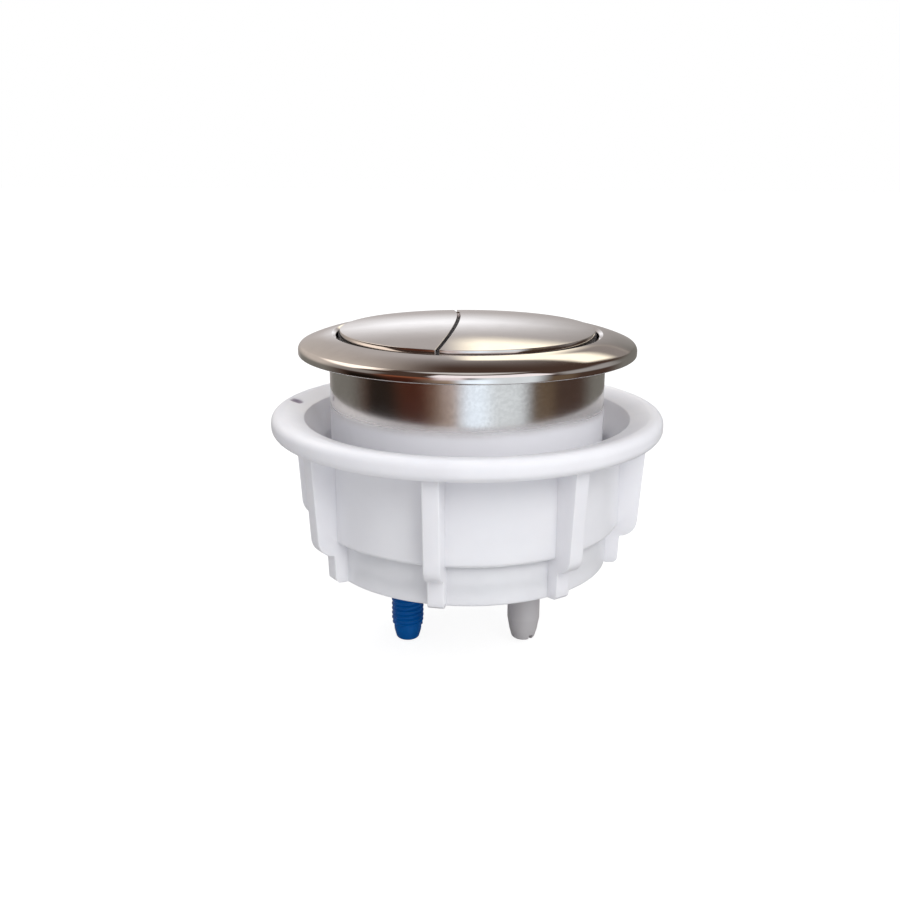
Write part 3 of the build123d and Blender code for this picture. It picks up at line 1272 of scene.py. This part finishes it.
@dataclass
class Studio:
    """The pale floor, the soft lamps and the room seen in the metal."""

    floor_z: float = -66.6
    floor_half: float = 3000.0
    floor_bounce: float = 0.66
    floor_glow: float = 0.90
    floor_veil: float = 0.24
    sunny_side: Point = (0.36, -0.72, 0.60)
    sunny_range: Range = (-0.7, 0.8)
    bright_air: Colour = (0.70, 0.71, 0.74)
    dim_air: Colour = (0.10, 0.07, 0.06)
    shade: Colour = (0.08, 0.048, 0.036)
    lamps: tuple[Lamp, ...] = (
        Lamp("key_lamp", (0.36, -0.60, 0.52), 3.3, (1.0, 0.99, 0.98)),
        Lamp("back_lamp", (-0.22, 0.28, 0.72), 2.95, (0.98, 0.99, 1.0)),
    )
    # Later panels lie over earlier ones. Azimuth runs from the front to the right.
    panels: tuple[Panel, ...] = (
        # Ceiling and side walls
        Panel(0.0, 200.0, 90.0, 18.0, (0.80, 0.77, 0.75), 8.0),
        Panel(-85.0, 26.0, 17.0, 17.0, (0.34, 0.31, 0.29), 8.0),
        Panel(98.0, 30.0, 17.0, 18.0, (0.42, 0.40, 0.39), 8.0),
        # Back wall, and a bright panel at its left
        Panel(191.0, 72.5, -6.0, 28.0, (0.22, 0.21, 0.19), 14.0),
        Panel(188.5, 17.5, 1.0, 39.0, (0.52, 0.48, 0.47), 13.5),
        Panel(230.5, 30.0, 27.0, 26.5, (0.70, 0.62, 0.56), 14.0),
        Panel(-115.0, 27.5, 45.5, 13.0, (1.95, 1.70, 1.50), 6.0),
        # Dark and brown at the left front, with a pale panel above, and brown at the right
        Panel(-60.0, 24.0, -16.5, 8.0, (0.01, 0.007, 0.005), 6.0),
        Panel(-34.0, 20.5, 0.0, 7.5, (0.38, 0.11, 0.05), 11.0),
        Panel(-8.0, 10.5, -14.5, 15.0, (0.43, 0.32, 0.24), 14.0),
        Panel(-41.0, 9.0, -16.5, 8.0, (0.06, 0.017, 0.01), 6.0),
        Panel(-8.0, 9.5, 15.0, 25.0, (1.02, 0.88, 0.91), 4.5),
        Panel(67.5, 11.0, -28.0, 23.0, (0.16, 0.11, 0.07), 5.5),
        # Bright panels at the right front
        Panel(31.0, 22.0, -9.5, 42.5, (0.92, 0.99, 1.04), 9.0),
        Panel(9.0, 11.0, -15.0, 8.0, (1.30, 1.47, 1.66), 8.0),
        Panel(20.5, 43.0, 38.5, 18.5, (1.28, 1.19, 1.22), 3.5),
        # Small panels at the back
        Panel(185.5, 7.0, 9.2, 3.0, (1.38, 1.38, 1.42), 6.0),
        Panel(171.0, 12.5, 27.5, 9.5, (1.73, 1.58, 1.30), 2.0),
        Panel(162.5, 11.0, 21.5, 5.5, (0.33, 0.29, 0.27), 3.0),
    )

    def floor(self) -> None:
        """Lay the floor, which the metal doesn't reflect."""
        mesh = bmesh.new()
        bmesh.ops.create_grid(mesh, x_segments=2, y_segments=2, size=self.floor_half)
        made = to_object(shift(mesh, 0.0, 0.0, self.floor_z), "studio_floor")
        made.data.materials.append(self.floor_paint())
        made.visible_glossy = False

    def floor_paint(self) -> bpy.types.Material:
        """Mix a paint that is grey to the part, white to the camera and clear from below.

        Returns:
            The floor's material.
        """
        paint = bpy.data.materials.new("floor_white")
        paint.use_nodes = True
        sheet = NodeSheet(paint.node_tree)
        matt, veil = (sheet.add("BsdfDiffuse", {"Color": (grey, grey, grey, 1.0)}).outputs[0]
                      for grey in (self.floor_bounce, self.floor_veil))
        glow = sheet.add("Emission", {"Color": (1.0, 1.0, 1.0, 1.0), "Strength": self.floor_glow}).outputs[0]
        clear = sheet.add("BsdfTransparent").outputs[0]
        shown = sheet.add("AddShader", {0: glow, 1: veil}).outputs[0]
        seen = sheet.add("LightPath").outputs["Is Camera Ray"]
        above = sheet.add("MixShader", {0: seen, 1: matt, 2: shown}).outputs[0]
        below = sheet.add("NewGeometry").outputs["Backfacing"]
        sided = sheet.add("MixShader", {0: below, 1: above, 2: clear}).outputs[0]
        sheet.add("OutputMaterial", {"Surface": sided})
        return paint

    def room(self) -> None:
        """Fill the world with the room that the metal reflects and plain light for the rest."""
        world = bpy.data.worlds.new("studio")
        world.use_nodes = True
        bpy.context.scene.world = world
        sheet = NodeSheet(world.node_tree)
        way = sheet.add("TexCoord").outputs["Generated"]
        rise = sheet.math("ARCSINE", sheet.add("SeparateXYZ", {0: way}).outputs[2])
        colour = self.shade
        for panel in self.panels:
            colour = sheet.mix(self.panel_mask(sheet, way, rise, panel), colour, panel.colour)
        path = sheet.add("LightPath")
        side = sheet.add("VectorMath", {0: way, 1: self.sunny_side}, operation="DOT_PRODUCT").outputs["Value"]
        air = sheet.mix(sheet.ramp(side, *self.sunny_range, 0.0, 1.0), self.dim_air, self.bright_air)
        seen = sheet.mix(path.outputs["Is Glossy Ray"], air, colour)
        seen = sheet.mix(path.outputs["Is Camera Ray"], seen, (1.0, 1.0, 1.0))
        back = sheet.add("Background", {"Color": seen, "Strength": 1.0})
        sheet.add("OutputWorld", {"Surface": back.outputs[0]})

    def panel_mask(self, sheet: NodeSheet, way: Socket, rise: Socket, panel: Panel) -> Socket:
        """Return how far a direction lies in a panel.

        Args:
            sheet: The world's nodes.
            way: The direction socket.
            rise: The direction's elevation in radians.
            panel: The panel.

        Returns:
            A socket from 0 outside to 1 inside.
        """
        turned = sheet.add("VectorRotate", {"Vector": way, "Angle": -math.radians(panel.azimuth)},
                           rotation_type="Z_AXIS").outputs[0]
        parts = sheet.add("SeparateXYZ", {0: turned}).outputs
        bearing = sheet.math("ARCTAN2", parts[0], sheet.math("MULTIPLY", parts[1], -1.0))
        across = sheet.math("ABSOLUTE", bearing)
        up = sheet.math("ABSOLUTE", sheet.math("SUBTRACT", rise, math.radians(panel.elevation)))
        soft = math.radians(panel.softness)
        wide, tall = math.radians(panel.half_width), math.radians(panel.half_height)
        inside = sheet.ramp(across, wide - soft, wide + soft, 1.0, 0.0)
        return sheet.math("MULTIPLY", inside, sheet.ramp(up, tall - soft, tall + soft, 1.0, 0.0))

    def build(self) -> None:
        """Set up floor, room and lamps."""
        self.floor()
        self.room()
        for lamp in self.lamps:
            lamp.build()
        log.info("studio: %d panels", len(self.panels))


@dataclass
class PhotoCamera:
    """The camera at the photograph's angle."""

    place: Point = (0.011491, -0.221016, 0.040131)
    target: Point = (-0.004227, 0.009540, -0.024653)
    lens: float = 42.4
    sensor: float = 36.0
    clip: Range = (0.01, 20.0)
    roll: float = 0.146

    def build(self) -> None:
        """Place the camera and make it the scene's own."""
        data = bpy.data.cameras.new("photo_camera")
        data.lens, data.sensor_width = self.lens, self.sensor
        data.clip_start, data.clip_end = self.clip
        camera = bpy.data.objects.new("photo_camera", data)
        way = Vector(self.target) - Vector(self.place)
        look = way.to_track_quat("-Z", "Y").to_matrix().to_4x4()
        roll = Matrix.Rotation(math.radians(self.roll), 4, "Z")
        camera.matrix_world = Matrix.Translation(self.place) @ look @ roll
        bpy.context.scene.collection.objects.link(camera)
        bpy.context.scene.camera = camera


def main() -> None:
    """Build every piece, dress it, and set the studio round it."""
    logging.basicConfig(level=logging.INFO, format="%(name)s %(message)s")
    bpy.context.scene.view_settings.view_transform = "Standard"
    PhotoCamera().build()
    for part in (
        BezelSleeve(),
        ButtonCap(-1, -ROD_X, "half_button_cap", Body.HALF),
        ButtonCap(1, ROD_X, "full_button_cap", Body.FULL),
        FixingNut(),
        ThreadedRod(),
        ReturnSpring(-ROD_X, "half_spring", "half_button_press"),
        ReturnSpring(ROD_X, "full_spring", "full_button_press"),
    ):
        part.dress(part.build())
    white = MouldedPlastic("inner_white", (0.82, 0.82, 0.82), (0.78, 0.78, 0.79), roughness=0.42)
    grey = MouldedPlastic("rod_grey", (0.64, 0.62, 0.625), (0.59, 0.57, 0.575), roughness=0.45)
    for node, finish in (("button_guide", white), ("half_plunger", white), ("full_plunger", white),
                         ("full_push_rod", grey)):
        PlainMoulding(node, finish).dress()
    Studio().build()


if __name__ == "__main__":
    main()
